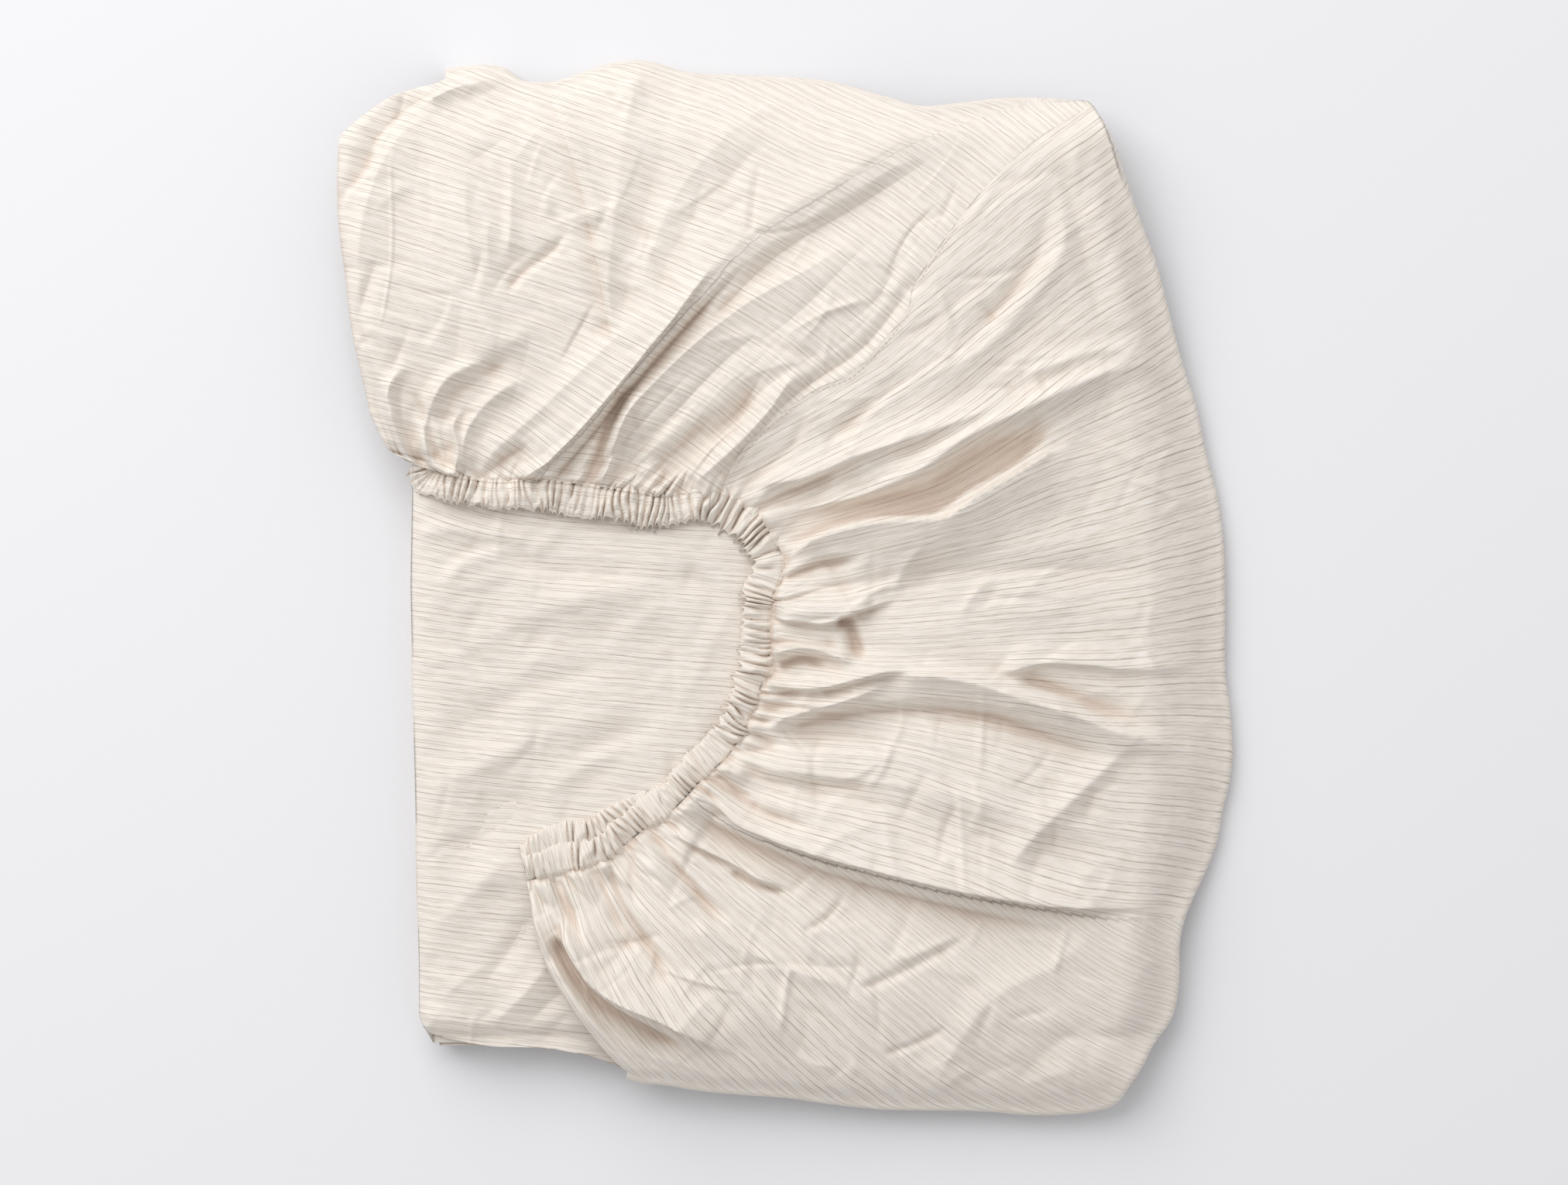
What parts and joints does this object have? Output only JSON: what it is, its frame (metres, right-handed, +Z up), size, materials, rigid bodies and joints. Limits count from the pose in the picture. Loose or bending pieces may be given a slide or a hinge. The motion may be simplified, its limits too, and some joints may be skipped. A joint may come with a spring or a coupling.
{
  "type": "crumpled fitted sheet",
  "caption": "Pinstriped cotton fitted sheet, folded flat, with an elasticated corner pocket fanned out in gathers on top.",
  "frame": {"origin": "centre of the bounding box's footprint, on the surface that the sheet lies on", "axes": "+Z up, +Y from the packet's front edge to its back edge, +X from the folded left side to the fanned pocket"},
  "size_m": [0.4133, 0.4885, 0.0569],
  "materials": {
    "cotton": "matt crinkled weave with fine grey-brown pinstripes"
  },
  "bodies": {
    "root": {"fitted_sheet": "cotton"}
  },
  "joints": []
}
